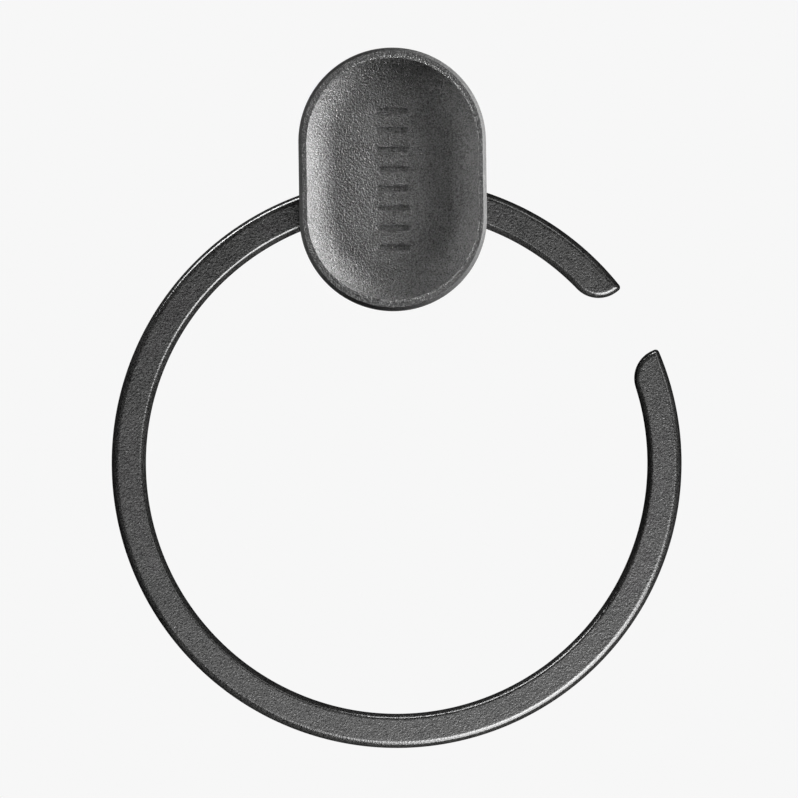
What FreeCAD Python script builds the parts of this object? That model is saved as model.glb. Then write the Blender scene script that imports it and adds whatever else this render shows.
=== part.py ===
import FreeCAD, Part
import math
import os

# Key ring with a pinch-release housing.
#
# A single flat steel hoop with one gap is threaded through a pill-shaped, dished housing.
# The hoop turns through a curved channel in the housing. When its gap reaches the channel, a
# leaf spring drops its nose between the hoop's ends and locks it. Pressing the dished front
# pad lifts the nose, so that the hoop can be turned until its gap is outside, as it is here,
# and keys can be threaded on.
#
# Frame: origin at the hoop's centre, hoop in the XZ plane, +Z up through the housing,
# -Y towards the front pad, +X to the right as seen from the front. Millimetres.

Vector = FreeCAD.Vector

# --- Hoop ---
RING_OUTER_RADIUS = 19.0
RING_INNER_RADIUS = 16.71
RING_THICKNESS = 2.0
RING_FACE_INSET = 0.36          # from each rim to the flat of the face
RING_EDGE_RADIUS = 0.14         # small round between the face and the bowed side
GAP_FROM_HOUSING_DEG = 60.0     # clockwise from the housing, seen from the front
GAP_HALF_ANGLE_DEG = 7.07
END_INNER_RADIUS = 2.0          # the large round that leads keys on
END_OUTER_RADIUS = 0.25

# --- Housing envelope ---
PILL_HALF_WIDTH = 6.25
PILL_STRAIGHT = 5.05            # length between the centres of the two round ends
PILL_CENTRE_Z = 18.9
PILL_HALF_DEPTH = 4.2
DISH_DEPTH = 1.1
DISH_STRAIGHT = 4.7             # the same length for the dishes, which leaves more rim at the ends
DISH_FLOOR_RADIUS = 3.7         # half width of the flat floor of each dish
DISH_CREST_RADIUS = 5.71        # half width of each dish at its crest
FRONT_LAND = 0.3                # flat on the crest of the front rim, along the sides
REAR_LAND = 0.2                 # flat on the crest of the rear rim, along the sides
REAR_RIM_BASE_Y = 1.65          # where the rear rim's bow runs into the straight side
SIDE_WALL = 0.9
FRONT_FLOOR = 0.5
REAR_FLOOR = 0.9

# --- Pad travel and the stack of parts from front to back ---
PAD_TRAVEL = 0.5
STOP_GAP = 0.05                 # left between carrier and plate at full press
SKIRT_EDGE_Y = -1.65
SHELL_EDGE_Y = -1.05
CARRIER_THICKNESS = 0.35
CARRIER_HALF_WIDTH = 5.0
PLATE_THICKNESS = 0.65
CHANNEL_CLEARANCE = 0.05        # between the hoop and each wall of its channel
BLOCK_REAR_Y = 1.6
CAVITY_CLEARANCE = 0.05         # between the chassis and the shell's side wall
SLIDE_CLEARANCE = 0.1           # between the bearing plate and the pad's skirt

# --- Channel liners ---
SHOE_THICKNESS = 0.8

# --- Latch ---
LEAF_THICKNESS = 0.2
LEAF_HALF_WIDTH = 1.5
LEAF_TOP_Z = 25.9
NOSE_HALF_WIDTH = 2.1
NOSE_BOTTOM_Z = 17.2
NOSE_TOP_Z = 18.7
NOSE_GAP = 0.02                 # between the nose and the back of the hoop it rides on
LATCH_POCKET_DEPTH = 0.9
SHOE_NOTCH_Y = 0.25             # front of the notch in the outer liner for the leaf's stem
LATCH_POCKET_TOP_Z = 23.2
RIVET_X = 0.8
RIVET_Z = 25.1
RIVET_RADIUS = 0.35
RIVET_HEAD_RADIUS = 0.6
RIVET_HEAD_HEIGHT = 0.25
RIVET_DEPTH = 0.8

# --- Release pin ---
PIN_Z = 20.7
PIN_RADIUS = 0.5
PIN_BORE_RADIUS = 0.55
PIN_TIP_Y = 1.08
PIN_SEAT_DEPTH = 0.3            # how far the pin is let into the pad

# --- Pad springs: (x, z) of each ---
SPRING_PLACES = {"pad_spring_left": (-2.9, 23.9),
                 "pad_spring_right": (2.9, 23.9),
                 "pad_spring_lower": (0.0, 14.0)}
SPRING_RADIUS = 0.9
SPRING_WIRE = 0.2
SPRING_TURNS = 5
SPRING_POCKET_RADIUS = 1.0
SPRING_FLOOR_Y = 0.6
SPRING_POST_RADIUS = 0.5
SPRING_POST_LENGTH = 0.6
SPRING_END_GAP = 0.02

# --- Retaining hooks of the pad carrier ---
HOOK_HALF_WIDTH = 1.2
HOOK_THICKNESS = 0.4
HOOK_BARB = 0.3
HOOK_TIP_Y = -0.4
HOOK_BARB_HEIGHT = 0.6
HOOK_SLOT_CLEARANCE = 0.1
HOOK_POCKET_FLOOR_Y = 0.25
HOOK_REACH = 4.45               # from a round end's centre to the outside of the hook's leg

# --- Stakes that hold the carrier to the pad: (x, z) of each ---
STAKE_PLACES = [(-4.1, 18.9), (4.1, 18.9)]
STAKE_RADIUS = 0.45

# --- Screws and dowels: (x, z) of each ---
SCREW_PLACES = [(-4.1, 21.6), (4.1, 21.6), (-3.3, 14.0), (3.3, 14.0)]
SCREW_RADIUS = 0.48
SCREW_HEAD_RADIUS = 0.9
SCREW_HEAD_HEIGHT = 0.45
SCREW_TIP_Y = 2.65
SCREW_HOLE_RADIUS = 0.55
SCREW_TAP_RADIUS = 0.5
SCREW_TAP_END_Y = 2.75
SCREW_RECESS = (0.95, 0.18, 0.22)   # length, width and depth of each bar of the cross recess
BOSS_RADIUS = 0.95
DOWEL_PLACES = [(-2.3, 21.4), (1.8, 12.6)]
DOWEL_RADIUS = 0.4
DOWEL_HOLE_RADIUS = 0.41
DOWEL_END_Y = 0.4

# --- Grip grooves in the floor of the front dish ---
GROOVE_COUNT = 8
GROOVE_PITCH = 1.3
GROOVE_LENGTH = 2.2
GROOVE_WIDTH = 0.36
GROOVE_DEPTH = 0.15

# --- Values that follow from the ones above ---
RING_HALF = RING_THICKNESS / 2.0
UPPER_Z = PILL_CENTRE_Z + PILL_STRAIGHT / 2.0
LOWER_Z = PILL_CENTRE_Z - PILL_STRAIGHT / 2.0
DISH_FLOOR_Y = PILL_HALF_DEPTH - DISH_DEPTH
DISH_WALL_RUN = DISH_CREST_RADIUS - DISH_FLOOR_RADIUS
DISH_WALL_RADIUS = (DISH_WALL_RUN ** 2 + DISH_DEPTH ** 2) / (2.0 * DISH_DEPTH)
CAVITY_HALF_WIDTH = PILL_HALF_WIDTH - SIDE_WALL
BLOCK_HALF_WIDTH = CAVITY_HALF_WIDTH - CAVITY_CLEARANCE
PLATE_HALF_WIDTH = CAVITY_HALF_WIDTH - SLIDE_CLEARANCE
CHANNEL_HALF = RING_HALF + CHANNEL_CLEARANCE
CHANNEL_INNER = RING_INNER_RADIUS - CHANNEL_CLEARANCE
CHANNEL_OUTER = RING_OUTER_RADIUS + CHANNEL_CLEARANCE
PLATE_FRONT_Y = -CHANNEL_HALF - PLATE_THICKNESS
CARRIER_REAR_Y = PLATE_FRONT_Y - STOP_GAP - PAD_TRAVEL
CARRIER_FRONT_Y = CARRIER_REAR_Y - CARRIER_THICKNESS
SHELL_CAVITY_Y = DISH_FLOOR_Y - REAR_FLOOR
UPPER_HOOK_Z = UPPER_Z + HOOK_REACH
LOWER_HOOK_Z = LOWER_Z - HOOK_REACH


def cylinder(x, z, radius, y_from, y_to):
    """Round bar along Y."""
    return Part.makeCylinder(radius, y_to - y_from, Vector(x, y_from, z), Vector(0, 1, 0))


def box(x_from, x_to, y_from, y_to, z_from, z_to):
    return Part.makeBox(x_to - x_from, y_to - y_from, z_to - z_from,
                        Vector(x_from, y_from, z_from))


def washer(inner_radius, outer_radius, half_depth):
    """Flat annulus about the hoop's axis."""
    outer = cylinder(0, 0, outer_radius, -half_depth, half_depth)
    return outer.cut(cylinder(0, 0, inner_radius, -half_depth, half_depth))


def pill_plate(half_width, y_from, y_to):
    """Flat plate with the housing's outline, shrunk to `half_width`."""
    def at(x, z):
        return Vector(x, y_from, z)
    edges = [
        Part.Arc(at(half_width, UPPER_Z), at(0, UPPER_Z + half_width),
                 at(-half_width, UPPER_Z)).toShape(),
        Part.LineSegment(at(-half_width, UPPER_Z), at(-half_width, LOWER_Z)).toShape(),
        Part.Arc(at(-half_width, LOWER_Z), at(0, LOWER_Z - half_width),
                 at(half_width, LOWER_Z)).toShape(),
        Part.LineSegment(at(half_width, LOWER_Z), at(half_width, UPPER_Z)).toShape(),
    ]
    return Part.Face(Part.Wire(edges)).extrude(Vector(0, y_to - y_from, 0))


def pill_solid(section, straight):
    """Sweep a section, drawn in (x, y) from the middle out, round two round ends `straight` apart."""
    face = Part.Face(Part.Wire(section))
    upper_z = PILL_CENTRE_Z + straight / 2.0
    lower_z = PILL_CENTRE_Z - straight / 2.0
    upper = face.translated(Vector(0, 0, upper_z))
    lower = face.translated(Vector(0, 0, lower_z))
    front = Vector(0, -1, 0)
    top_end = upper.revolve(Vector(0, 0, upper_z), front, 180)
    bottom_end = lower.revolve(Vector(0, 0, lower_z), front, -180)
    right_side = lower.extrude(Vector(0, 0, straight))
    left_side = right_side.mirror(Vector(0, 0, 0), Vector(1, 0, 0))
    return top_end.fuse([bottom_end, right_side, left_side]).removeSplitter()


def line(start, end):
    return Part.LineSegment(Vector(*start, 0), Vector(*end, 0)).toShape()


def arc(start, middle, end):
    return Part.Arc(Vector(*start, 0), Vector(*middle, 0), Vector(*end, 0)).toShape()


def dish_section(side):
    """Section of the cutter for one dish: flat floor and a wall that curves up to the crest."""
    floor_y = side * DISH_FLOOR_Y
    crest_y = side * PILL_HALF_DEPTH
    half_slope = math.asin(DISH_WALL_RUN / DISH_WALL_RADIUS) / 2.0
    wall_middle = (DISH_FLOOR_RADIUS + DISH_WALL_RADIUS * math.sin(half_slope),
                   floor_y + side * DISH_WALL_RADIUS * (1.0 - math.cos(half_slope)))
    edges = [
        line((0, floor_y), (DISH_FLOOR_RADIUS, floor_y)),
        arc((DISH_FLOOR_RADIUS, floor_y), wall_middle, (DISH_CREST_RADIUS, crest_y)),
        line((DISH_CREST_RADIUS, crest_y), (DISH_CREST_RADIUS, crest_y + side)),
        line((DISH_CREST_RADIUS, crest_y + side), (0, crest_y + side)),
        line((0, crest_y + side), (0, floor_y)),
    ]
    return Part.__sortEdges__(edges)


def cup_section(side, land, base_y, edge_y, floor_thickness):
    """Section of one half of the housing before its dish is cut: bowed rim, side wall and floor.

    `side` is -1 for the front half and +1 for the rear half; `land` is the flat on the crest,
    and `base_y` is where the bowed rim runs into the straight side.
    """
    crest_y = side * PILL_HALF_DEPTH
    rim_start = DISH_CREST_RADIUS + land
    rim_run = PILL_HALF_WIDTH - rim_start
    rim_rise = abs(crest_y - base_y)
    rim_radius = (rim_run ** 2 + rim_rise ** 2) / (2.0 * rim_run)
    half_turn = math.asin(rim_rise / rim_radius) / 2.0
    rim_middle = (PILL_HALF_WIDTH - rim_radius * (1.0 - math.cos(half_turn)),
                  base_y + side * rim_radius * math.sin(half_turn))
    inner_y = side * (DISH_FLOOR_Y - floor_thickness)
    edges = [
        line((0, crest_y), (rim_start, crest_y)),
        arc((rim_start, crest_y), rim_middle, (PILL_HALF_WIDTH, base_y)),
        line((PILL_HALF_WIDTH, edge_y), (CAVITY_HALF_WIDTH, edge_y)),
        line((CAVITY_HALF_WIDTH, edge_y), (CAVITY_HALF_WIDTH, inner_y)),
        line((CAVITY_HALF_WIDTH, inner_y), (0, inner_y)),
        line((0, inner_y), (0, crest_y)),
    ]
    if base_y != edge_y:
        edges.append(line((PILL_HALF_WIDTH, base_y), (PILL_HALF_WIDTH, edge_y)))
    return Part.__sortEdges__(edges)


def dished_half(side, land, base_y, edge_y, floor_thickness):
    """One half of the housing, hollow behind and dished outside."""
    cup = pill_solid(cup_section(side, land, base_y, edge_y, floor_thickness), PILL_STRAIGHT)
    return cup.cut(pill_solid(dish_section(side), DISH_STRAIGHT))


def polar(radius, degrees):
    """Point in the hoop's plane, counter-clockwise from +X as seen from the front."""
    angle = math.radians(degrees)
    return Vector(radius * math.cos(angle), 0, radius * math.sin(angle))


def round_corner(rim_radius, round_radius, end, turn):
    """Arc between a rim of the hoop and the radial end line at angle `end`.

    `round_radius` is positive for the inner rim and negative for the outer one, and `turn` is
    +1 or -1 for the way the hoop's metal lies. Returns the arc and its two ends, on the rim
    and on the end line.
    """
    centre_radius = rim_radius + round_radius
    lean = math.degrees(math.asin(abs(round_radius) / centre_radius))
    centre = polar(centre_radius, end + turn * lean)
    on_rim = polar(rim_radius, end + turn * lean)
    on_line = polar(centre_radius * math.cos(math.radians(lean)), end)
    outward = ((on_rim - centre) + (on_line - centre)).normalize()
    middle = centre + outward * abs(round_radius)
    return Part.Arc(on_rim, middle, on_line).toShape(), on_rim, on_line


def ring_outline():
    """Outline of the hoop in its own plane, as one closed wire."""
    gap_middle = 90.0 - GAP_FROM_HOUSING_DEG
    edges = []
    rim_points = []
    for turn in (1, -1):
        end = gap_middle + turn * GAP_HALF_ANGLE_DEG
        outer, outer_rim, outer_line = round_corner(RING_OUTER_RADIUS, -END_OUTER_RADIUS,
                                                    end, turn)
        inner, inner_rim, inner_line = round_corner(RING_INNER_RADIUS, END_INNER_RADIUS,
                                                    end, turn)
        edges += [outer, inner, Part.LineSegment(outer_line, inner_line).toShape()]
        rim_points.append((outer_rim, inner_rim))
    far_side = gap_middle + 180.0
    for index, radius in enumerate((RING_OUTER_RADIUS, RING_INNER_RADIUS)):
        rim = Part.Arc(rim_points[0][index], polar(radius, far_side), rim_points[1][index])
        edges.append(rim.toShape())
    return Part.Wire(Part.__sortEdges__(edges))


def bowed_side(rim_radius, inward):
    """Front and rear edges of one side of the hoop's section, drawn in (x, y).

    A small round leaves the face and runs into a wide arc, which bows out to the rim at half
    thickness. `inward` is the way from that rim into the metal: -1 outside, +1 inside.
    """
    rise = RING_HALF - RING_EDGE_RADIUS
    run = RING_FACE_INSET - RING_EDGE_RADIUS
    bow_radius = (RING_FACE_INSET ** 2 - RING_EDGE_RADIUS ** 2 + rise ** 2) / (2.0 * run)
    bow_x = rim_radius + inward * bow_radius
    round_x = rim_radius + inward * RING_FACE_INSET
    turn = math.atan2(rise, bow_radius - RING_FACE_INSET)
    meet = (bow_x - inward * bow_radius * math.cos(turn), bow_radius * math.sin(turn))
    half = turn + (math.pi / 2.0 - turn) / 2.0
    round_middle = (round_x - inward * RING_EDGE_RADIUS * math.cos(half),
                    rise + RING_EDGE_RADIUS * math.sin(half))
    face_end = (round_x, RING_HALF)

    def mirrored(point):
        return (point[0], -point[1])

    return [
        arc(face_end, round_middle, meet),
        arc(meet, (rim_radius, 0), mirrored(meet)),
        arc(mirrored(meet), mirrored(round_middle), mirrored(face_end)),
    ]


def full_ring():
    """Whole hoop with no gap: two flat faces and two bowed sides."""
    section = bowed_side(RING_INNER_RADIUS, 1) + bowed_side(RING_OUTER_RADIUS, -1)
    inner_x = RING_INNER_RADIUS + RING_FACE_INSET
    outer_x = RING_OUTER_RADIUS - RING_FACE_INSET
    for y in (-RING_HALF, RING_HALF):
        section.append(line((inner_x, y), (outer_x, y)))
    face = Part.Face(Part.Wire(Part.__sortEdges__(section)))
    return face.revolve(Vector(0, 0, 0), Vector(0, 1, 0), 360)


def split_ring():
    """The hoop, cut to its outline."""
    outline = Part.Face(ring_outline()).translated(Vector(0, -RING_HALF, 0))
    return full_ring().common(outline.extrude(Vector(0, RING_THICKNESS, 0)))


def groove(z):
    """Cutter for one grip groove: a flat capsule across the floor of the dish."""
    half = (GROOVE_LENGTH - GROOVE_WIDTH) / 2.0
    top = -DISH_FLOOR_Y - GROOVE_DEPTH
    bottom = -DISH_FLOOR_Y + GROOVE_DEPTH
    radius = GROOVE_WIDTH / 2.0
    bar = box(-half, half, top, bottom, z - radius, z + radius)
    ends = [cylinder(x, z, radius, top, bottom) for x in (-half, half)]
    return bar.fuse(ends).removeSplitter()


def front_pad():
    """Dished thumb pad with a skirt that slides over the bearing plate."""
    pad = dished_half(-1, FRONT_LAND, SKIRT_EDGE_Y, SKIRT_EDGE_Y, FRONT_FLOOR)
    first_z = PILL_CENTRE_Z - GROOVE_PITCH * (GROOVE_COUNT - 1) / 2.0
    cutters = [groove(first_z + GROOVE_PITCH * index) for index in range(GROOVE_COUNT)]
    cutters.append(cylinder(0, PIN_Z, PIN_RADIUS, CARRIER_FRONT_Y - PIN_SEAT_DEPTH,
                            CARRIER_FRONT_Y))
    pad = pad.cut(cutters)
    stakes = [cylinder(x, z, STAKE_RADIUS, CARRIER_FRONT_Y - PIN_SEAT_DEPTH, CARRIER_REAR_Y)
              for x, z in STAKE_PLACES]
    return pad.fuse(stakes).removeSplitter()


def hook(root_z, outward):
    """Retaining hook: a leg from the carrier, with a barb behind the bearing plate."""
    leg_from, leg_to = sorted((root_z, root_z - outward * HOOK_THICKNESS))
    leg = box(-HOOK_HALF_WIDTH, HOOK_HALF_WIDTH, CARRIER_REAR_Y, HOOK_TIP_Y, leg_from, leg_to)
    barb_from, barb_to = sorted((root_z, root_z + outward * HOOK_BARB))
    barb = box(-HOOK_HALF_WIDTH, HOOK_HALF_WIDTH, HOOK_TIP_Y - HOOK_BARB_HEIGHT, HOOK_TIP_Y,
               barb_from, barb_to)
    return leg.fuse(barb)


def hook_slot(root_z, outward, y_from, y_to, barb):
    """Cutter that gives a hook's leg, and its barb if `barb`, room to travel."""
    reach = HOOK_SLOT_CLEARANCE + (HOOK_BARB if barb else 0.0)
    half = HOOK_HALF_WIDTH + HOOK_SLOT_CLEARANCE
    z_from, z_to = sorted((root_z + outward * reach,
                           root_z - outward * (HOOK_THICKNESS + HOOK_SLOT_CLEARANCE)))
    return box(-half, half, y_from, y_to, z_from, z_to)


def pad_carrier():
    """Frame staked under the pad: it holds the hooks and centres the springs."""
    plate = pill_plate(CARRIER_HALF_WIDTH, CARRIER_FRONT_Y, CARRIER_REAR_Y)
    extras = [hook(UPPER_HOOK_Z, 1), hook(LOWER_HOOK_Z, -1)]
    for x, z in SPRING_PLACES.values():
        extras.append(cylinder(x, z, SPRING_POST_RADIUS, CARRIER_REAR_Y,
                               CARRIER_REAR_Y + SPRING_POST_LENGTH))
    holes = [cylinder(x, z, STAKE_RADIUS, CARRIER_FRONT_Y, CARRIER_REAR_Y)
             for x, z in STAKE_PLACES]
    holes.append(cylinder(0, PIN_Z, PIN_RADIUS, CARRIER_FRONT_Y, CARRIER_REAR_Y))
    return plate.fuse(extras).removeSplitter().cut(holes)


def release_pin():
    """Pin fixed in the pad; its domed tip pushes the leaf spring back."""
    start_y = CARRIER_FRONT_Y - PIN_SEAT_DEPTH
    pin = cylinder(0, PIN_Z, PIN_RADIUS, start_y, PIN_TIP_Y)
    tip = [edge for edge in pin.Edges
           if edge.BoundBox.YLength < 1e-6 and edge.BoundBox.YMin > PIN_TIP_Y - 1e-6]
    return pin.makeFillet(PIN_RADIUS / 2.0, tip)


def bearing_plate():
    """Steel plate that closes the channel in front of the hoop."""
    plate = pill_plate(PLATE_HALF_WIDTH, PLATE_FRONT_Y, -CHANNEL_HALF)
    holes = [cylinder(0, PIN_Z, PIN_BORE_RADIUS, PLATE_FRONT_Y, -CHANNEL_HALF)]
    for x, z in SPRING_PLACES.values():
        holes.append(cylinder(x, z, SPRING_POCKET_RADIUS, PLATE_FRONT_Y, -CHANNEL_HALF))
    for x, z in DOWEL_PLACES:
        holes.append(cylinder(x, z, DOWEL_HOLE_RADIUS, PLATE_FRONT_Y, -CHANNEL_HALF))
    for x, z in SCREW_PLACES:
        holes.append(cylinder(x, z, SCREW_HOLE_RADIUS, PLATE_FRONT_Y, -CHANNEL_HALF))
        holes.append(Part.makeCone(SCREW_HEAD_RADIUS, SCREW_RADIUS, SCREW_HEAD_HEIGHT,
                                   Vector(x, PLATE_FRONT_Y, z), Vector(0, 1, 0)))
    holes.append(hook_slot(UPPER_HOOK_Z, 1, PLATE_FRONT_Y, -CHANNEL_HALF, False))
    holes.append(hook_slot(LOWER_HOOK_Z, -1, PLATE_FRONT_Y, -CHANNEL_HALF, False))
    return plate.cut(holes)


def latch_pocket(y_from):
    """Cutter for the room that the leaf's stem needs when the latch is down."""
    half = LEAF_HALF_WIDTH + HOOK_SLOT_CLEARANCE
    return box(-half, half, y_from, BLOCK_REAR_Y, NOSE_TOP_Z, LATCH_POCKET_TOP_Z)


def guide_block():
    """Chassis: carries the liners, springs and latch, and is the back of the channel."""
    block = pill_plate(BLOCK_HALF_WIDTH, -CHANNEL_HALF, BLOCK_REAR_Y)
    channel = washer(CHANNEL_INNER - SHOE_THICKNESS, CHANNEL_OUTER + SHOE_THICKNESS, CHANNEL_HALF)
    nose_half = NOSE_HALF_WIDTH + HOOK_SLOT_CLEARANCE
    window = box(-nose_half, nose_half, 0, BLOCK_REAR_Y, NOSE_BOTTOM_Z - HOOK_SLOT_CLEARANCE,
                 NOSE_TOP_Z + HOOK_SLOT_CLEARANCE)
    cutters = [channel, window, latch_pocket(BLOCK_REAR_Y - LATCH_POCKET_DEPTH)]
    cutters.append(cylinder(0, PIN_Z, PIN_BORE_RADIUS, -CHANNEL_HALF, BLOCK_REAR_Y))
    for x, z in SPRING_PLACES.values():
        cutters.append(cylinder(x, z, SPRING_POCKET_RADIUS, -CHANNEL_HALF, SPRING_FLOOR_Y))
    for x, z in DOWEL_PLACES:
        cutters.append(cylinder(x, z, DOWEL_HOLE_RADIUS, -CHANNEL_HALF, DOWEL_END_Y))
    for x, z in SCREW_PLACES:
        cutters.append(cylinder(x, z, SCREW_HOLE_RADIUS, -CHANNEL_HALF, BLOCK_REAR_Y))
    for x in (-RIVET_X, RIVET_X):
        cutters.append(cylinder(x, RIVET_Z, RIVET_RADIUS, BLOCK_REAR_Y - RIVET_DEPTH,
                                BLOCK_REAR_Y))
    for root_z, outward in ((UPPER_HOOK_Z, 1), (LOWER_HOOK_Z, -1)):
        cutters.append(hook_slot(root_z, outward, -CHANNEL_HALF, HOOK_POCKET_FLOOR_Y, True))
    return block.cut(cutters)


def guide_shoe(inner_radius, outer_radius):
    """Low-friction liner along one wall of the channel."""
    liner = washer(inner_radius, outer_radius, CHANNEL_HALF)
    return liner.common(pill_plate(BLOCK_HALF_WIDTH, -CHANNEL_HALF, CHANNEL_HALF))


def inner_guide_shoe():
    return guide_shoe(CHANNEL_INNER - SHOE_THICKNESS, CHANNEL_INNER)


def outer_guide_shoe():
    """The outer liner is notched for the leaf's stem."""
    liner = guide_shoe(CHANNEL_OUTER, CHANNEL_OUTER + SHOE_THICKNESS)
    return liner.cut(latch_pocket(SHOE_NOTCH_Y))


def latch_spring():
    """Leaf spring: a stem riveted at the top and a wider nose stepped forward to the hoop."""
    front_y = BLOCK_REAR_Y
    rear_y = front_y + LEAF_THICKNESS
    nose_front_y = RING_HALF + NOSE_GAP
    nose_rear_y = nose_front_y + LEAF_THICKNESS
    step = front_y - nose_front_y
    mitre = LEAF_THICKNESS * math.tan(math.radians(22.5))
    profile = [
        (front_y, LEAF_TOP_Z), (front_y, NOSE_TOP_Z), (nose_front_y, NOSE_TOP_Z - step),
        (nose_front_y, NOSE_BOTTOM_Z), (nose_rear_y, NOSE_BOTTOM_Z),
        (nose_rear_y, NOSE_TOP_Z - step - mitre), (rear_y, NOSE_TOP_Z - mitre),
        (rear_y, LEAF_TOP_Z),
    ]
    corners = [Vector(-NOSE_HALF_WIDTH, y, z) for y, z in profile + profile[:1]]
    leaf = Part.Face(Part.makePolygon(corners)).extrude(Vector(2 * NOSE_HALF_WIDTH, 0, 0))
    cutters = []
    for side in (-1, 1):
        x_from, x_to = sorted((side * LEAF_HALF_WIDTH, side * 2 * NOSE_HALF_WIDTH))
        cutters.append(box(x_from, x_to, 0, 2 * rear_y, NOSE_TOP_Z, LEAF_TOP_Z))
        cutters.append(cylinder(side * RIVET_X, RIVET_Z, RIVET_RADIUS, front_y, rear_y))
    return leaf.cut(cutters)


def latch_rivet(x):
    head_y = BLOCK_REAR_Y + LEAF_THICKNESS
    shank = cylinder(x, RIVET_Z, RIVET_RADIUS, BLOCK_REAR_Y - RIVET_DEPTH, head_y)
    head = Part.makeCone(RIVET_HEAD_RADIUS, RIVET_RADIUS, RIVET_HEAD_HEIGHT,
                         Vector(x, head_y, RIVET_Z), Vector(0, 1, 0))
    return shank.fuse(head)


def pad_spring(x, z):
    """Open coil spring between the carrier and the floor of its pocket."""
    radius = SPRING_RADIUS - SPRING_WIRE / 2.0
    start_y = CARRIER_REAR_Y + SPRING_END_GAP + SPRING_WIRE / 2.0
    end_y = SPRING_FLOOR_Y - SPRING_END_GAP - SPRING_WIRE / 2.0
    length = end_y - start_y
    pitch = length / SPRING_TURNS
    helix = Part.makeHelix(pitch, length, radius)
    along_wire = Vector(0, 2.0 * math.pi * radius, pitch)
    section = Part.Wire(Part.makeCircle(SPRING_WIRE / 2.0, Vector(radius, 0, 0), along_wire))
    coil = Part.Wire(helix).makePipeShell([section], True, True)
    coil.rotate(Vector(0, 0, 0), Vector(1, 0, 0), -90)
    coil.translate(Vector(x, start_y, z))
    return coil


def plate_screw(x, z):
    """Countersunk screw with a cross recess."""
    shank = cylinder(x, z, SCREW_RADIUS, PLATE_FRONT_Y, SCREW_TIP_Y)
    head = Part.makeCone(SCREW_HEAD_RADIUS, SCREW_RADIUS, SCREW_HEAD_HEIGHT,
                         Vector(x, PLATE_FRONT_Y, z), Vector(0, 1, 0))
    length, width, depth = SCREW_RECESS
    bars = [box(x - a / 2, x + a / 2, PLATE_FRONT_Y, PLATE_FRONT_Y + depth, z - b / 2, z + b / 2)
            for a, b in ((length, width), (width, length))]
    return shank.fuse(head).removeSplitter().cut(bars)


def dowel_pin(x, z):
    return cylinder(x, z, DOWEL_RADIUS, PLATE_FRONT_Y, DOWEL_END_Y - STOP_GAP)


def rear_shell():
    """Back half of the housing: the screws pull the chassis against its four bosses."""
    shell = dished_half(1, REAR_LAND, REAR_RIM_BASE_Y, SHELL_EDGE_Y, REAR_FLOOR)
    bosses = [cylinder(x, z, BOSS_RADIUS, BLOCK_REAR_Y, SHELL_CAVITY_Y + REAR_FLOOR / 2.0)
              for x, z in SCREW_PLACES]
    shell = shell.fuse(bosses)
    ring_slot = 3.0 * CHANNEL_CLEARANCE
    cutters = [washer(RING_INNER_RADIUS - ring_slot, RING_OUTER_RADIUS + ring_slot,
                      RING_HALF + ring_slot)]
    for x, z in SCREW_PLACES:
        cutters.append(cylinder(x, z, SCREW_TAP_RADIUS, BLOCK_REAR_Y, SCREW_TAP_END_Y))
    return shell.cut(cutters).removeSplitter()


def all_parts():
    """Every node's name and solid."""
    parts = {
        "split_ring": split_ring(),
        "front_pad": front_pad(),
        "pad_carrier": pad_carrier(),
        "release_pin": release_pin(),
        "rear_shell": rear_shell(),
        "guide_block": guide_block(),
        "bearing_plate": bearing_plate(),
        "inner_guide_shoe": inner_guide_shoe(),
        "outer_guide_shoe": outer_guide_shoe(),
        "latch_spring": latch_spring(),
        "latch_rivet_left": latch_rivet(-RIVET_X),
        "latch_rivet_right": latch_rivet(RIVET_X),
    }
    for name, (x, z) in SPRING_PLACES.items():
        parts[name] = pad_spring(x, z)
    for index, (x, z) in enumerate(SCREW_PLACES, start=1):
        parts["plate_screw_%d" % index] = plate_screw(x, z)
    for index, (x, z) in enumerate(DOWEL_PLACES, start=1):
        parts["dowel_pin_%d" % index] = dowel_pin(x, z)
    return parts


os.makedirs("parts", exist_ok=True)
for node, solid in all_parts().items():
    print("%-18s solids %d  valid %s  volume %.3f mm3"
          % (node, len(solid.Solids), solid.isValid(), solid.Volume))
    solid.exportStep("parts/%s.step" % node)
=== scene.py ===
"""Looks for the split key ring: a flat black hoop with a gap, turning through a pill-shaped housing.

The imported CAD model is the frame. The hoop, the two halves of the housing and the three coil
springs get finer meshes here, and every other node keeps its CAD mesh with a better material. The
two halves have small rounds that the CAD lacks, and leave out what is hidden inside them: the
pad's stakes and the seat of its pin, and the shell's screw bosses.

Sizes are in millimetres and become metres where a mesh is made. The hoop's centre is the origin,
the hoop lies in the XZ plane with the housing at its top, and -Y is the front.
"""

import math

import bmesh
import bpy
from mathutils import Matrix, Vector


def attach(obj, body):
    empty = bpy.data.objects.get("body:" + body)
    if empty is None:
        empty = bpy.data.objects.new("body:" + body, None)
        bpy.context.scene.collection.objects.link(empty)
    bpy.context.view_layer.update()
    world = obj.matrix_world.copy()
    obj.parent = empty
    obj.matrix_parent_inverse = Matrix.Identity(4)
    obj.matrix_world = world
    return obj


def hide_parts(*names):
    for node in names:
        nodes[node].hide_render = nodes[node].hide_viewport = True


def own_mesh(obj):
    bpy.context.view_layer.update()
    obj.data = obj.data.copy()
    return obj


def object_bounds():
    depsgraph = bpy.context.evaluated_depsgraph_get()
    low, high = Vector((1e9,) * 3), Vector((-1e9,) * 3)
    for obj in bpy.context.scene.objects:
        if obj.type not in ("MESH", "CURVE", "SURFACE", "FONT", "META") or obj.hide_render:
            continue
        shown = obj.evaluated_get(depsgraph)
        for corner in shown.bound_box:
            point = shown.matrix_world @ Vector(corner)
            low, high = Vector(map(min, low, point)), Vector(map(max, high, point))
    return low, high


MM = 0.001

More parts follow.
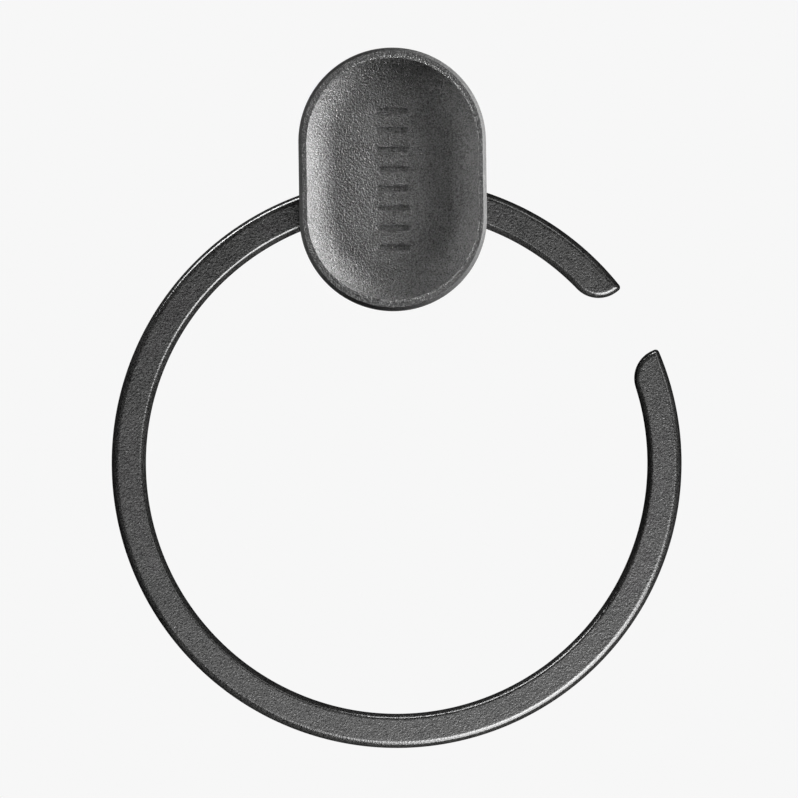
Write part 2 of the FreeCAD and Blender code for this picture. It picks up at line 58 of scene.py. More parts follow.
# the hoop
RING_OUTER = 19.0
RING_INNER = 16.71
RING_HALF = 1.0                   # half its thickness
GAP_CENTRE_DEG = 30.0             # from +X towards +Z
GAP_HALF_DEG = 7.07
OUTER_EDGE = (0.46, 0.33)         # from the outer rim to the flat of the face, and the round there
INNER_EDGE = (0.4, 0.16)          # the same at the inner rim
END_EDGE = (0.36, 0.24)           # and at the two ends
FACE_MARGIN = 0.05                # from the round to the first flat strip of the face
END_BLEND = 0.8                   # length over which the edge along the hoop changes to an end's
END_OUTER_ROUND = 0.25
END_INNER_ROUND = 2.0
SMALLEST_ROUND = 0.02             # for a corner drawn so far inside the outline that none is left
RIM_STEPS = 540
CORNER_STEPS = 28
BOW_STEPS = 9                     # up the bowed side, from the mid-plane to the round
EDGE_ROUND_STEPS = 5
SHARP_DEG = 32.0                  # edges sharper than this aren't shaded smooth

# the housing
PILL_HALF_WIDTH = 6.25
PILL_CENTRE_Z = 18.9
PILL_STRAIGHT = 5.05              # between the centres of the outline's round ends
DISH_STRAIGHT = 4.7               # the same for the dishes
CREST_Y = 4.2
DISH_FLOOR_Y = 3.1
DISH_FLOOR_RADIUS = 3.7
DISH_CREST_RADIUS = 5.71
CAVITY_RADIUS = 5.35
FRONT_SKIRT_Y = 1.65
FRONT_CEILING_Y = 2.6
FRONT_LAND = 0.3
REAR_LAND = 0.2
REAR_RIM_BASE_Y = 1.65
REAR_EDGE_Y = -1.05
REAR_CEILING_Y = 2.2
FRONT_SOFTENING = (0.0, 0.12)     # reach of the rounds inside and outside the front crest's land
REAR_SOFTENING = (0.07, 0.07)     # the same for the rear crest
EDGE_SOFTENING = 0.09             # and for both corners of the edge at the seam
SOFTENING_STEPS = 6
PILL_ARC_STEPS = 96
PILL_SIDE_STEPS = 14
WALL_STEPS = 24                   # up the curved wall of a dish
RIM_BOW_STEPS = 18                # down the bowed outside of a rim
SKIRT_STEPS = 10                  # down the straight side below it
SLOT_CLEARANCE = 0.15             # round the hoop, where it passes through the rear shell
PASSAGE_START_DEG = 45.0          # the sector that is cut for the hoop
PASSAGE_TURN_DEG = 90.0
PASSAGE_STEPS = 120

# grip grooves across the floor of the front dish
GROOVE_COUNT = 8
GROOVE_PITCH = 1.3
GROOVE_HALF_LENGTH = 1.1
GROOVE_HALF_WIDTH = 0.18
GROOVE_DEPTH = 0.15
GROOVE_LIP = 0.04                 # how far the softened lip reaches past the outline
GROOVE_END_STEPS = 10
GROOVE_SECTION = [                # (inset from the outline, depth), from the lip to the floor
    (-GROOVE_LIP, 0.0),
    (-0.4 * GROOVE_LIP, 0.12 * GROOVE_LIP),
    (0.0, 0.6 * GROOVE_LIP),
    (0.01, 0.7 * GROOVE_DEPTH),
    (0.03, 0.92 * GROOVE_DEPTH),
    (0.07, GROOVE_DEPTH),
]

# coil springs under the pad
SPRING_PLACES = {"pad_spring_left": (-2.9, 23.9),
                 "pad_spring_right": (2.9, 23.9),
                 "pad_spring_lower": (0.0, 14.0)}
SPRING_RADIUS = 0.8
SPRING_WIRE = 0.1                 # radius of the wire
SPRING_FRONT_Y = -2.23
SPRING_REAR_Y = 0.58
SPRING_TURNS = 5
SPRING_STEPS_PER_TURN = 40
SPRING_STEPS_AROUND = 12

# the view: as good as flat on, from far away with a long lens
VIEW_WIDTH = 53.2                 # width of the picture at the hoop
VIEW_CENTRE = (0.217, 4.267)      # (x, z) at the middle of the picture
VIEW_ROLL_DEG = 0.8
SENSOR = 36.0
LENS = 1000.0
CLIP_M = (0.05, 10.0)             # nearest and furthest that the camera sees, in metres

# the black coat
FLECK_SHARE = 0.85                # of the colour's pattern; the rest is a broad mottle
MOTTLE_MM = 2.4
COLOUR_BAND = (0.38, 0.62)        # of the pattern, from the darkest colour to the lightest
ROUGHNESS_SWING = 0.1             # either way, with the grain
FLECK_SIZE = 0.8                  # as a share of the grain's size
FINE_SIZE = 0.45                  # size of the finest grain, as a share of the grain's size
FINE_DEPTH = 0.3                  # and its depth, as a share of the grain's depth
CREST_BAND = 0.05                 # half width of the change from dish to outside, at the crest
SKIRT_GRAIN = 0.7                 # depth of the grain on the outside, as a share of the dish's
SKIRT_DULLNESS = 0.24             # how much rougher the outside is
SKIRT_PAINTED_SHADE = 0.12                # painted shade: how much lower on the colours' pattern the outside is

NOISE_BAND = (0.3, 0.7)           # most values of a noise lie in it
PALE = 0.93                       # the pale floor and backdrop
FLOOR_RADIUS = 600.0
FLOOR_STEPS = 128
LIGHT_CENTRE_Z = 6.0
LIGHT_DISTANCE = 300.0

# Studio lights: soft and round, in arcs about the line to the camera. An arc is (tilt from that
# line, turn of its first and of its last light counter-clockwise from the right, how many,
# diameter, radiance), with angles in degrees. Each set lights only its own pieces
HOUSING_LIGHTS = [
    (85, -10, 30, 3, 160.0, 55.0),    # key, grazing from the right
    (80, 150, 180, 2, 160.0, 12.0),   # kicker, grazing from the left
    (0, 0, 0, 1, 60.0, 44.0),         # front
]
INSIDE_LIGHTS = [
    (60, 0, 300, 6, 160.0, 4.0),      # even, from all sides
    (120, 0, 300, 6, 160.0, 4.0),
    (0, 0, 0, 1, 160.0, 4.0),
    (180, 0, 0, 1, 160.0, 4.0),
]
HOOP_LIGHTS = [
    (30, 280, 320, 3, 120.0, 13.0),   # key, from below on the right
    (50, 280, 320, 3, 120.0, 14.0),
    (75, 280, 320, 3, 120.0, 14.0),
    (60, 20, 60, 2, 120.0, 5.0),      # fill, from above on the right
    (100, 90, 130, 3, 120.0, 26.0),   # kicker, from above and a little behind
    (15, 240, 330, 4, 120.0, 1.2),    # front
]
REAR_LIGHTS = [
    (140, 0, 240, 3, 160.0, 8.0),     # behind, from all round
]
HOOP_REAR_LIGHTS = [
    (178, 0, 0, 1, 120.0, 160.0),     # behind, seen by the matt part of the coat only
]


# ---------------------------------------------------------------- mesh helpers

def shade(mesh):
    """Shade a mesh smooth but for its sharp edges."""
    mesh.shade_smooth()
    mesh.set_sharp_from_angle(angle=math.radians(SHARP_DEG))


def to_object(name, bm):
    """Turn a bmesh in millimetres into a shaded object in metres."""
    bmesh.ops.recalc_face_normals(bm, faces=bm.faces)
    bmesh.ops.transform(bm, matrix=Matrix.Scale(MM, 4), verts=bm.verts)
    mesh = bpy.data.meshes.new(name)
    bm.to_mesh(mesh)
    bm.free()
    shade(mesh)
    obj = bpy.data.objects.new(name, mesh)
    bpy.context.scene.collection.objects.link(obj)
    return obj


def add_loop(bm, points):
    """Vertices at `points`, not joined yet."""
    return [bm.verts.new(point) for point in points]


def bridge(bm, first, second):
    """Quads between two closed loops with the same number of points."""
    count = len(first)
    for i in range(count):
        j = (i + 1) % count
        bm.faces.new((first[i], first[j], second[j], second[i]))


def bridge_all(bm, loops):
    """Quads between each loop and the next."""
    for first, second in zip(loops, loops[1:]):
        bridge(bm, first, second)


def arc_points(centre, radius, start, end, steps):
    """Points of an arc, with both ends; angles are in radians."""
    return [(centre[0] + radius * math.cos(start + (end - start) * i / steps),
             centre[1] + radius * math.sin(start + (end - start) * i / steps))
            for i in range(steps + 1)]


def trim(points, reach):
    """Shorten a polyline by `reach` at its end, measured in its first two coordinates."""
    points = list(points)
    while reach > 0 and len(points) > 1:
        a, b = Vector(points[-2]), Vector(points[-1])
        length = (b - a).xy.length
        if length > reach:
            points[-1] = tuple(b + (a - b) * (reach / length))
            return points
        reach -= length
        points.pop()
    return points


def chain(runs, reaches):
    """Join polylines end to end, rounding each corner between them over `reaches`."""
    result = []
    for index, run in enumerate(runs):
        run = list(run)
        if index > 0 and reaches[index - 1] > 0:
            corner = run[0]
            run = trim(run[::-1], reaches[index - 1])[::-1]
            start, end = Vector(result[-1]), Vector(run[0])
            corner = Vector(corner)
            for i in range(1, SOFTENING_STEPS):
                t = i / SOFTENING_STEPS
                point = start * (1 - t) ** 2 + corner * (2 * t * (1 - t)) + end * t ** 2
                result.append(tuple(point))
        elif index > 0:
            run = run[1:]
        if index < len(reaches) and reaches[index] > 0:
            run = trim(run, reaches[index])
        result += run
    return result


# ---------------------------------------------------------------- the hoop

def corner_points(rim, rounding, inset, end, turn):
    """Corner between a rim and an end of the hoop, from the rim to the end line, and its angle.

    `rim` is the rim's radius and `rounding` the corner's radius, positive for the inner rim and
    negative for the outer one; all of it is drawn `inset` inside the outline. `end` is the angle
    of the end line, and `turn` is 1 or -1 towards the metal.
    """
    inward = 1.0 if rounding > 0 else -1.0
    radius = max(abs(rounding) - inset, SMALLEST_ROUND)
    centre_radius = rim + inward * (inset + radius)
    lean = math.asin((inset + radius) / centre_radius)
    centre_angle = end + turn * lean
    centre = (centre_radius * math.cos(centre_angle), centre_radius * math.sin(centre_angle))
    to_rim = centre_angle + (math.pi if inward > 0 else 0.0)
    to_line = end - turn * math.pi / 2.0
    sweep = (to_line - to_rim + math.pi) % (2.0 * math.pi) - math.pi
    return arc_points(centre, radius, to_rim, to_rim + sweep, CORNER_STEPS), centre_angle


def ring_loop(outer, inner, at_end):
    """One closed loop of the hoop's surface.

    `outer`, `inner` and `at_end` are this loop's (inset, y) along each rim and round the ends.
    """
    middle = math.radians(GAP_CENTRE_DEG)
    half = math.radians(GAP_HALF_DEG)
    corners = []
    angles = []
    for end, turn in ((middle + half, 1.0), (middle - half + 2.0 * math.pi, -1.0)):
        found = [corner_points(rim, rounding, at_end[0], end, turn)
                 for rim, rounding in ((RING_OUTER, -END_OUTER_ROUND),
                                       (RING_INNER, END_INNER_ROUND))]
        corners.append([points for points, _ in found])
        angles.append([angle for _, angle in found])

    def rim_run(radius, inward, along, start, stop):
        run = []
        for i in range(1, RIM_STEPS):
            t = i / RIM_STEPS
            angle = start + (stop - start) * t
            away = min(t, 1.0 - t) * abs(stop - start) * radius
            blend = max(0.0, 1.0 - away / END_BLEND)
            blend = blend * blend * (3.0 - 2.0 * blend)
            inset = along[0] * (1.0 - blend) + at_end[0] * blend
            y = along[1] * (1.0 - blend) + at_end[1] * blend
            r = radius + inward * inset
            run.append((r * math.cos(angle), y, r * math.sin(angle)))
        return run

    def lifted(points):
        return [(x, at_end[1], z) for x, z in points]

    return (rim_run(RING_OUTER, -1.0, outer, angles[0][0], angles[1][0])
            + lifted(corners[1][0]) + lifted(corners[1][1][::-1])
            + rim_run(RING_INNER, 1.0, inner, angles[1][1], angles[0][1])
            + lifted(corners[0][1]) + lifted(corners[0][0][::-1]))


def bow_profile(inset, rounding):
    """(inset, height) from the mid-plane to the face, for half of the bowed side."""
    rise = RING_HALF - rounding
    radius = (inset ** 2 - rounding ** 2 + rise ** 2) / (2.0 * (inset - rounding))
    turn = math.atan2(rise, radius - inset)
    points = [(radius - radius * math.cos(turn * i / BOW_STEPS),
               radius * math.sin(turn * i / BOW_STEPS)) for i in range(BOW_STEPS)]
    for i in range(EDGE_ROUND_STEPS + 1):
        angle = turn + (math.pi / 2.0 - turn) * i / EDGE_ROUND_STEPS
        points.append((inset - rounding * math.cos(angle), rise + rounding * math.sin(angle)))
    points.append((inset + FACE_MARGIN, RING_HALF))
    return points


def make_ring():
    """The hoop: two flat faces, bowed sides and rounded ends."""
    profiles = [bow_profile(*edge) for edge in (OUTER_EDGE, INNER_EDGE, END_EDGE)]
    half = list(zip(*profiles))
    front = [[(inset, -height) for inset, height in level] for level in half[::-1]]
    levels = front + half[1:]
    bm = bmesh.new()
    loops = [add_loop(bm, ring_loop(*level)) for level in levels]
    bridge_all(bm, loops)
    for loop in (loops[0], loops[-1]):
        fill_face(bm, loop)
    return to_object("hoop", bm)


def fill_face(bm, loop):
    """Fill a flat face of the hoop with quads across it and one polygon at each end."""
    rim = RIM_STEPS - 1
    corner = 2 * (CORNER_STEPS + 1)
    outer = loop[:rim]
    far_end = loop[rim:rim + corner]
    inner = loop[rim + corner:2 * rim + corner][::-1]
    near_end = loop[2 * rim + corner:]
    for i in range(rim - 1):
        bm.faces.new((outer[i], outer[i + 1], inner[i + 1], inner[i]))
    bm.faces.new([outer[-1]] + far_end + [inner[-1]])
    bm.faces.new([inner[0]] + near_end + [outer[0]])


# ---------------------------------------------------------------- the housing

def pill_loop(radius, y, straight):
    """Closed loop of two round ends of `radius`, their centres `straight` apart."""
    points = []
    upper_z = PILL_CENTRE_Z + straight / 2.0
    lower_z = PILL_CENTRE_Z - straight / 2.0
    for centre_z, start in ((upper_z, 0.0), (lower_z, math.pi)):
        for i in range(PILL_ARC_STEPS + 1):
            angle = start + math.pi * i / PILL_ARC_STEPS
            points.append((radius * math.cos(angle), y, centre_z + radius * math.sin(angle)))
        x = -radius if start == 0.0 else radius
        goal_z = lower_z if start == 0.0 else upper_z
        for i in range(1, PILL_SIDE_STEPS):
            points.append((x, y, centre_z + (goal_z - centre_z) * i / PILL_SIDE_STEPS))
    return points


def half_profile(land, softening, base_y, edge_y, ceiling_y):
    """(radius, height, straight) of one half of the housing, from the dish's floor to its inside.

    Heights are positive away from the hoop. The dish's loops have their own straight length, and
    the land on the crest takes up the difference. `softening` is the pair of rounds on either side
    of the land; `base_y` is where the bow of the rim ends and `edge_y` the edge at the seam.
    """
    run = DISH_CREST_RADIUS - DISH_FLOOR_RADIUS
    rise = CREST_Y - DISH_FLOOR_Y
    wall_radius = (run ** 2 + rise ** 2) / (2.0 * rise)
    wall_turn = math.asin(run / wall_radius)
    wall = arc_points((DISH_FLOOR_RADIUS, DISH_FLOOR_Y + wall_radius), wall_radius,
                      -math.pi / 2.0, -math.pi / 2.0 + wall_turn, WALL_STEPS)
    wall = [(x, y, DISH_STRAIGHT) for x, y in wall]
    rim_start = DISH_CREST_RADIUS + land
    rim_run = PILL_HALF_WIDTH - rim_start
    rim_rise = CREST_Y - base_y
    rim_radius = (rim_run ** 2 + rim_rise ** 2) / (2.0 * rim_run)
    rim_turn = math.asin(rim_rise / rim_radius)
    rim = arc_points((PILL_HALF_WIDTH - rim_radius, base_y), rim_radius, rim_turn, 0.0,
                     RIM_BOW_STEPS)
    if edge_y != base_y:
        rim += [(PILL_HALF_WIDTH, base_y + (edge_y - base_y) * i / SKIRT_STEPS)
                for i in range(1, SKIRT_STEPS + 1)]
    outside = [
        [(DISH_CREST_RADIUS, CREST_Y, DISH_STRAIGHT), (rim_start, CREST_Y, PILL_STRAIGHT)],
        [(x, y, PILL_STRAIGHT) for x, y in rim],
        [(PILL_HALF_WIDTH, edge_y, PILL_STRAIGHT), (CAVITY_RADIUS, edge_y, PILL_STRAIGHT)],
        [(CAVITY_RADIUS, edge_y, PILL_STRAIGHT), (CAVITY_RADIUS, ceiling_y, PILL_STRAIGHT)],
    ]
    return chain([wall] + outside, [*softening, EDGE_SOFTENING, EDGE_SOFTENING])


def groove_outline(z, inset):
    """Rounded bar, `inset` inside a groove's own outline, as (x, z)."""
    radius = GROOVE_HALF_WIDTH - inset
    reach = GROOVE_HALF_LENGTH - GROOVE_HALF_WIDTH
    right = arc_points((reach, z), radius, -math.pi / 2.0, math.pi / 2.0, GROOVE_END_STEPS)
    left = arc_points((-reach, z), radius, math.pi / 2.0, 1.5 * math.pi, GROOVE_END_STEPS)
    return right + left


def fill_floor(bm, rim, holes):
    """Fill the flat floor inside `rim` but for `holes`, all of them loops in one plane."""
    edges = []
    for loop in [rim] + holes:
        for i, vert in enumerate(loop):
            following = loop[(i + 1) % len(loop)]
            edges.append(bm.edges.get((vert, following)) or bm.edges.new((vert, following)))
    bmesh.ops.triangle_fill(bm, use_beauty=True, use_dissolve=False, edges=edges)


def make_groove(bm, z, side):
    """Walls and floor of one groove; returns the loop where it opens on the dish's floor."""
    loops = []
    for inset, depth in GROOVE_SECTION:
        y = side * (DISH_FLOOR_Y - depth)
        loops.append(add_loop(bm, [(x, y, pz) for x, pz in groove_outline(z, inset)]))
    bridge_all(bm, loops)
    bm.faces.new(loops[-1])
    return loops[0]


def make_half(name, side, grooves, land, softening, base_y, edge_y, ceiling_y):
    """One half of the housing; `side` is -1 for the front and +1 for the rear."""
    bm = bmesh.new()
    profile = half_profile(land, softening, base_y, edge_y, ceiling_y)
    loops = [add_loop(bm, pill_loop(radius, side * height, straight))
             for radius, height, straight in profile]
    bridge_all(bm, loops)
    bm.faces.new(loops[-1])
    holes = []
    if grooves:
        first_z = PILL_CENTRE_Z - GROOVE_PITCH * (GROOVE_COUNT - 1) / 2.0
        holes = [make_groove(bm, first_z + GROOVE_PITCH * i, side) for i in range(GROOVE_COUNT)]
    fill_floor(bm, loops[0], holes)
    return to_object(name, bm)


def ring_passage():
    """Cutter for the room round the hoop, a sector of a flat ring that is open at the front."""
    bm = bmesh.new()
    inner, outer = RING_INNER - SLOT_CLEARANCE, RING_OUTER + SLOT_CLEARANCE
    half = RING_HALF + SLOT_CLEARANCE
    loops = []
    for i in range(PASSAGE_STEPS + 1):
        angle = math.radians(PASSAGE_START_DEG + PASSAGE_TURN_DEG * i / PASSAGE_STEPS)
        across = [(inner, -2.0 * half), (outer, -2.0 * half), (outer, half), (inner, half)]
        loops.append(add_loop(bm, [(r * math.cos(angle), y, r * math.sin(angle))
                                   for r, y in across]))
    bridge_all(bm, loops)
    bm.faces.new(loops[0])
    bm.faces.new(loops[-1])
    return to_object("passage_cutter", bm)


def cut(obj, cutter):
    """Subtract `cutter` from `obj` and remove it."""
    modifier = obj.modifiers.new("cut", "BOOLEAN")
    modifier.operation = "DIFFERENCE"
    modifier.solver = "EXACT"
    modifier.object = cutter
    bpy.context.view_layer.update()
    evaluated = obj.evaluated_get(bpy.context.evaluated_depsgraph_get())
    mesh = bpy.data.meshes.new_from_object(evaluated)
    obj.modifiers.clear()
    old = obj.data
    obj.data = mesh
    mesh.name = obj.name
    bpy.data.meshes.remove(old)
    bpy.data.objects.remove(cutter)
    shade(mesh)


# ---------------------------------------------------------------- springs

def make_spring(name, x, z):
    """Open coil spring, a plain helix of round wire."""
    bm = bmesh.new()
    total = SPRING_TURNS * SPRING_STEPS_PER_TURN
    loops = []
    front, rear = SPRING_FRONT_Y + SPRING_WIRE, SPRING_REAR_Y - SPRING_WIRE
    for i in range(total + 1):
        t = i / total
        angle = 2.0 * math.pi * SPRING_TURNS * t
        centre = Vector((x + SPRING_RADIUS * math.cos(angle), front + (rear - front) * t,
                         z + SPRING_RADIUS * math.sin(angle)))
        out = Vector((math.cos(angle), 0.0, math.sin(angle)))
        up = Vector((0.0, 1.0, 0.0))
        loops.append(add_loop(bm, [
            centre + out * (SPRING_WIRE * math.cos(2.0 * math.pi * k / SPRING_STEPS_AROUND))
            + up * (SPRING_WIRE * math.sin(2.0 * math.pi * k / SPRING_STEPS_AROUND))
            for k in range(SPRING_STEPS_AROUND)]))
    bridge_all(bm, loops)
    bm.faces.new(loops[0])
    bm.faces.new(loops[-1])
    return to_object(name, bm)


# ---------------------------------------------------------------- materials

class Nodes:
    """Small helper to build a procedural material."""

    def __init__(self, name):
        self.material = bpy.data.materials.new(name)
        self.material.use_nodes = True
        self.tree = self.material.node_tree
        self.shader = self.tree.nodes["Principled BSDF"]
        self.place = self.tree.nodes.new("ShaderNodeTexCoord").outputs["Object"]

    def noise(self, size_mm, detail=2.0, roughness=0.5, stretch=None):
        """Noise whose features are about `size_mm` across."""
        node = self.tree.nodes.new("ShaderNodeTexNoise")
        node.inputs["Scale"].default_value = 1.0 / (size_mm * MM)
        node.inputs["Detail"].default_value = detail
        node.inputs["Roughness"].default_value = roughness
        source = self.place
        if stretch:
            mapping = self.tree.nodes.new("ShaderNodeMapping")
            mapping.inputs["Scale"].default_value = stretch
            self.tree.links.new(self.place, mapping.inputs["Vector"])
            source = mapping.outputs["Vector"]
        self.tree.links.new(source, node.inputs["Vector"])
        return node.outputs["Fac"]

    def from_pill_axis(self):
        """Distance from the straight line between the centres of the housing's round ends."""
        split = self.tree.nodes.new("ShaderNodeSeparateXYZ")
        self.tree.links.new(self.place, split.inputs["Vector"])
        above = self.math("SUBTRACT", split.outputs["Z"], PILL_CENTRE_Z * MM)
        beyond = self.math("SUBTRACT", self.math("ABSOLUTE", above, 0.0), PILL_STRAIGHT / 2.0 * MM)
        beyond = self.math("MAXIMUM", beyond, 0.0)
        across = self.math("MULTIPLY", split.outputs["X"], split.outputs["X"])
        along = self.math("MULTIPLY", beyond, beyond)
        return self.math("SQRT", self.math("ADD", across, along), 0.0)

    def spread(self, value, low, high, to_low, to_high):
        """Map `value` from low..high to to_low..to_high, clamped."""
        node = self.tree.nodes.new("ShaderNodeMapRange")
        node.inputs["From Min"].default_value = low
        node.inputs["From Max"].default_value = high
        node.inputs["To Min"].default_value = to_low
        node.inputs["To Max"].default_value = to_high
        self.tree.links.new(value, node.inputs["Value"])
        return node.outputs["Result"]

    def math(self, operation, first, second):
        """One step of arithmetic on two numbers or sockets."""
        node = self.tree.nodes.new("ShaderNodeMath")
        node.operation = operation
        for socket, value in zip(node.inputs, (first, second)):
            if isinstance(value, (int, float)):
                socket.default_value = value
            else:
                self.tree.links.new(value, socket)
        return node.outputs["Value"]

    def colours(self, value, stops):
        """Colour ramp between two (position, colour) stops."""
        node = self.tree.nodes.new("ShaderNodeValToRGB")
        for element, (position, colour) in zip(node.color_ramp.elements, stops):
            element.position = position
            element.color = (*colour, 1.0)
        self.tree.links.new(value, node.inputs["Fac"])
        return node.outputs["Color"]

    def bump(self, height, depth_mm, normal=None):
        """Normal of a surface raised by `height`, on top of `normal` where one is given."""
        node = self.tree.nodes.new("ShaderNodeBump")
        node.inputs["Strength"].default_value = 1.0
        node.inputs["Distance"].default_value = depth_mm * MM
        self.tree.links.new(height, node.inputs["Height"])
        if normal is not None:
            self.tree.links.new(normal, node.inputs["Normal"])
        return node.outputs["Normal"]

    def feed(self, socket, value):
        """Link `value` into the shader."""
        self.tree.links.new(value, self.shader.inputs[socket])

    def fix(self, socket, value):
        """Set a plain value on the shader."""
        self.shader.inputs[socket].default_value = value


def shaded(colour, share):
    return tuple(c * share for c in colour)


def coated_black(name, darkest, lightest, rough, grain_mm, depth_mm, housing=False):
    """Black satin coat with fine grain and small light flecks.

    On the housing, the outside past the dish's crest has less grain and is duller, and painted shade
    darkens its colour.
    """
    n = Nodes(name)
    grain = n.noise(grain_mm, detail=2.0, roughness=0.6)
    fleck = n.noise(grain_mm * FLECK_SIZE, detail=1.0)
    mottle = n.noise(MOTTLE_MM, detail=2.0)
    fine = n.noise(grain_mm * FINE_SIZE, detail=1.0)
    height = grain
    pattern = n.math("ADD", n.math("MULTIPLY", fleck, FLECK_SHARE),
                     n.math("MULTIPLY", mottle, 1.0 - FLECK_SHARE))
    dullness = n.spread(grain, *NOISE_BAND, rough + ROUGHNESS_SWING, rough - ROUGHNESS_SWING)
    if housing:
        distance = n.from_pill_axis()
        crest = ((DISH_CREST_RADIUS - CREST_BAND) * MM, (DISH_CREST_RADIUS + CREST_BAND) * MM)
        height = n.math("MULTIPLY", grain, n.spread(distance, *crest, 1.0, SKIRT_GRAIN))
        # painted shade: the colour past the crest is darkened to stand in for shade
        pattern = n.math("SUBTRACT", pattern, n.spread(distance, *crest, 0.0, SKIRT_PAINTED_SHADE))
        dullness = n.math("ADD", dullness, n.spread(distance, *crest, 0.0, SKIRT_DULLNESS))
    dark = shaded((1.0, 1.0, 0.99), darkest)
    pale = shaded((1.0, 0.995, 0.98), lightest)
    n.feed("Base Color", n.colours(pattern, zip(COLOUR_BAND, (dark, pale))))
    n.feed("Roughness", dullness)
    n.feed("Normal", n.bump(height, depth_mm, normal=n.bump(fine, depth_mm * FINE_DEPTH)))
    n.fix("Specular IOR Level", 0.5)
    return n.material


def moulded(name, colour, rough):
    """Moulded plastic with a faint orange-peel skin."""
    skin_mm, skin_depth = 0.35, 0.004
    mottle_mm, mottle_shade = 3.0, 0.86
    smoother, rougher = 0.05, 0.07
    n = Nodes(name)
    skin = n.noise(skin_mm, detail=3.0)
    dark = shaded(colour, mottle_shade)
    n.feed("Base Color", n.colours(n.noise(mottle_mm), zip(NOISE_BAND, (dark, colour))))
    n.feed("Roughness", n.spread(skin, *NOISE_BAND, rough - smoother, rough + rougher))
    n.feed("Normal", n.bump(skin, skin_depth))
    return n.material


def metal(name, colour, rough, stretch):
    """Bare metal with fine marks left by rolling, drawing or turning."""
    mark_mm, mark_depth = 0.12, 0.002
    mottle_mm, mottle_shade = 1.8, 0.78
    smoother, rougher = 0.08, 0.1
    n = Nodes(name)
    marks = n.noise(mark_mm, detail=3.0, stretch=stretch)
    dark = shaded(colour, mottle_shade)
    n.feed("Base Color", n.colours(n.noise(mottle_mm), zip(NOISE_BAND, (dark, colour))))
    n.feed("Roughness", n.spread(marks, *NOISE_BAND, rough - smoother, rough + rougher))
    n.feed("Normal", n.bump(marks, mark_depth))
    n.fix("Metallic", 1.0)
    return n.material


def glowing(name, level):
    """Evenly lit pale card for the floor."""
    material = bpy.data.materials.new(name)
    material.use_nodes = True
    tree = material.node_tree
    tree.nodes.clear()
    emission = tree.nodes.new("ShaderNodeEmission")
    emission.inputs["Color"].default_value = (level, level, level, 1.0)
    output = tree.nodes.new("ShaderNodeOutputMaterial")
    tree.links.new(emission.outputs["Emission"], output.inputs["Surface"])
    return material


# ---------------------------------------------------------------- stage

def light(name, tilt, turn, radiance, receivers, size, glossy):
    """Soft round light aimed at the middle of the object, lighting only `receivers`.

    `tilt` is its angle from the line to the camera, and `turn` goes counter-clockwise from the
    right as the camera sees it, both in degrees.
    """
    data = bpy.data.lights.new(name, "AREA")
    data.shape = "DISK"
    data.size = size * MM
    data.energy = radiance * math.pi * math.pi * (size * MM / 2.0) ** 2
    obj = bpy.data.objects.new(name, data)
    t, a = math.radians(tilt), math.radians(turn)
    back = Vector((math.sin(t) * math.cos(a), -math.cos(t), math.sin(t) * math.sin(a)))
    obj.location = Vector((0.0, 0.0, LIGHT_CENTRE_Z * MM)) + back * (LIGHT_DISTANCE * MM)
    obj.rotation_mode = "QUATERNION"
    obj.rotation_quaternion = (-back).to_track_quat("-Z", "Y")
    obj.visible_camera = False
    obj.visible_glossy = glossy
    bpy.context.scene.collection.objects.link(obj)
    group = bpy.data.collections.new(name + "_receivers")
    for receiver in receivers:
        group.objects.link(receiver)
    obj.light_linking.receiver_collection = group


def light_arcs(name, arcs, receivers, glossy=True):
    """Put up every light of a set; without `glossy`, only the matt part of a coat sees them."""
    for tilt, first, last, count, size, radiance in arcs:
        for i in range(count):
            turn = first + (last - first) * i / max(count - 1, 1)
            light("%s_%d_%d" % (name, tilt, turn), tilt, turn, radiance, receivers, size, glossy)


def make_floor(z):
    """Pale round floor under the object."""
    bm = bmesh.new()
    bmesh.ops.create_circle(bm, cap_ends=True, radius=FLOOR_RADIUS, segments=FLOOR_STEPS,
                            matrix=Matrix.Translation((0.0, 0.0, z)))
    floor = to_object("floor", bm)
    floor.data.materials.append(glowing("pale_floor", PALE))
    floor.visible_glossy = False
    floor.visible_diffuse = False
    floor.visible_shadow = False


def make_camera():
    """Camera in front of the hoop, as good as flat on."""
    data = bpy.data.cameras.new("camera")
    data.lens = LENS
    data.sensor_width = SENSOR
    data.clip_start, data.clip_end = CLIP_M
    camera = bpy.data.objects.new("camera", data)
    distance = VIEW_WIDTH * MM * LENS / SENSOR
    camera.location = (VIEW_CENTRE[0] * MM, -distance, VIEW_CENTRE[1] * MM)
    camera.rotation_euler = (math.pi / 2.0, math.radians(VIEW_ROLL_DEG), 0.0)
    bpy.context.scene.collection.objects.link(camera)
    bpy.context.scene.camera = camera


def make_backdrop():
    """Pale backdrop that the camera sees and that doesn't light the object."""
    world = bpy.data.worlds.new("world")
    bpy.context.scene.world = world
    world.use_nodes = True
    background = world.node_tree.nodes["Background"]
    background.inputs["Color"].default_value = (PALE, PALE, PALE, 1.0)
    background.inputs["Strength"].default_value = 1.0
    world.cycles_visibility.diffuse = False
    world.cycles_visibility.glossy = False


# ---------------------------------------------------------------- build

def dress(piece, body, material, slot, *replaced):
    """Give a finished piece its material and its body, and hide the node that it replaces; `slot` is
    not used.
    """
    piece.data.materials.clear()
    piece.data.materials.append(material)
    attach(piece, body)
    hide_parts(*replaced)


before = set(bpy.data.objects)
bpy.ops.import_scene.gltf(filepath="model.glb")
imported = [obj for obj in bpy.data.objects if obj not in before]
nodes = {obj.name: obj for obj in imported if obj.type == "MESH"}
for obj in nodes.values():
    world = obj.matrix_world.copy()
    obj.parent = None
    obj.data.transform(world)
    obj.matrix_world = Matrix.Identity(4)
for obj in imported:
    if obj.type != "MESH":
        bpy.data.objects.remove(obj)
cad_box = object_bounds()

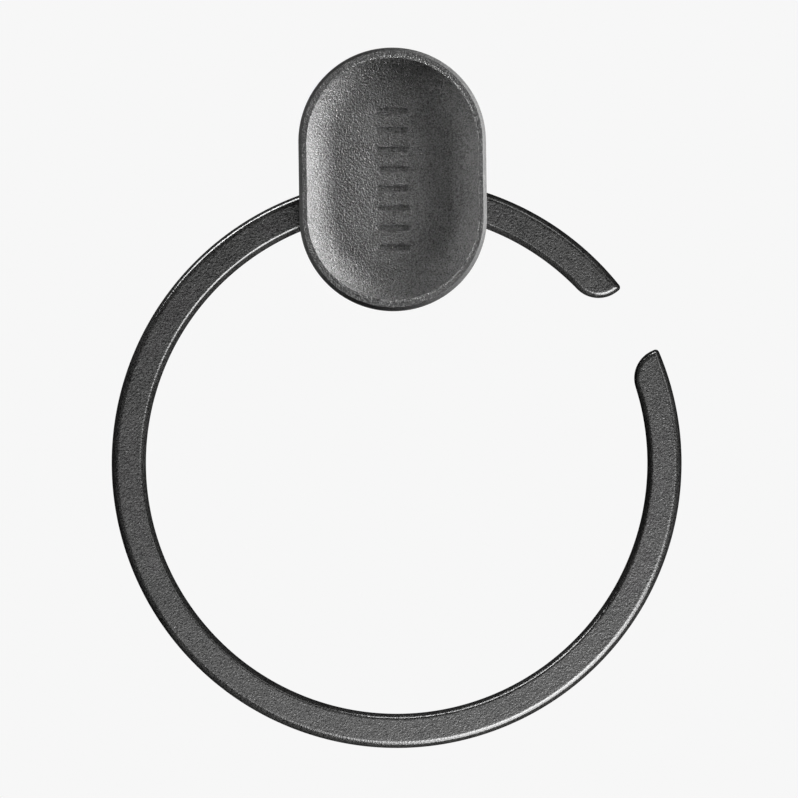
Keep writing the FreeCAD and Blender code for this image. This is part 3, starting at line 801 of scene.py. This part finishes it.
ring_black = coated_black("ring_black", darkest=0.003, lightest=0.021, rough=0.15, grain_mm=0.12,
                          depth_mm=0.016)
shell_black, pad_black = [
    coated_black(name, darkest=0.001, lightest=0.07, rough=0.33, grain_mm=0.13, depth_mm=0.11,
                 housing=True)
    for name in ("shell_black", "pad_black")]
FINISHES = {
    "carrier_nylon": moulded("carrier_nylon", (0.05, 0.05, 0.052), 0.5),
    "chassis_nylon": moulded("chassis_nylon", (0.07, 0.07, 0.072), 0.55),
    "liner_acetal": moulded("liner_acetal", (0.75, 0.74, 0.7), 0.35),
    "plate_steel": metal("plate_steel", (0.5, 0.5, 0.49), 0.35, (1.0, 1.0, 8.0)),
    "spring_steel": metal("spring_steel", (0.42, 0.41, 0.4), 0.3, (1.0, 1.0, 6.0)),
    "pin_steel": metal("pin_steel", (0.55, 0.55, 0.54), 0.25, (1.0, 8.0, 1.0)),
    "screw_steel": metal("screw_steel", (0.46, 0.46, 0.45), 0.3, (1.0, 8.0, 1.0)),
    "rivet_brass": metal("rivet_brass", (0.62, 0.46, 0.2), 0.32, (1.0, 1.0, 1.0)),
}

hoop = make_ring()
dress(hoop, "ring", ring_black, "ring_black", "split_ring")

front = make_half("thumb_pad", -1.0, True, FRONT_LAND, FRONT_SOFTENING, FRONT_SKIRT_Y,
                  FRONT_SKIRT_Y, FRONT_CEILING_Y)
dress(front, "pad", pad_black, "pad_black", "front_pad")

rear = make_half("back_shell", 1.0, False, REAR_LAND, REAR_SOFTENING, REAR_RIM_BASE_Y, REAR_EDGE_Y,
                 REAR_CEILING_Y)
cut(rear, ring_passage())
dress(rear, "housing", shell_black, "shell_black", "rear_shell")

coils = []
for node, (x, z) in SPRING_PLACES.items():
    coil = make_spring(node.replace("pad_spring", "coil"), x, z)
    coils.append(coil)
    dress(coil, "housing", FINISHES["spring_steel"], "spring_steel", node)
    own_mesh(coil)

# the nodes that no piece replaces
inside_pieces = [obj for obj in nodes.values() if not obj.hide_render]
for obj in inside_pieces:
    for index, material in enumerate(obj.data.materials):
        finish = FINISHES.get(material.name.split(".")[0])
        if finish:
            obj.data.materials[index] = finish
inside_pieces += coils

make_floor(cad_box[0].z / MM)
make_camera()

light_arcs("housing_light", HOUSING_LIGHTS, [front, rear])
light_arcs("inside_light", INSIDE_LIGHTS, inside_pieces)
light_arcs("hoop_light", HOOP_LIGHTS, [hoop])
light_arcs("rear_light", REAR_LIGHTS, [rear])
light_arcs("hoop_rear_light", HOOP_REAR_LIGHTS, [hoop], glossy=False)

make_backdrop()
bpy.context.scene.view_settings.view_transform = "Standard"
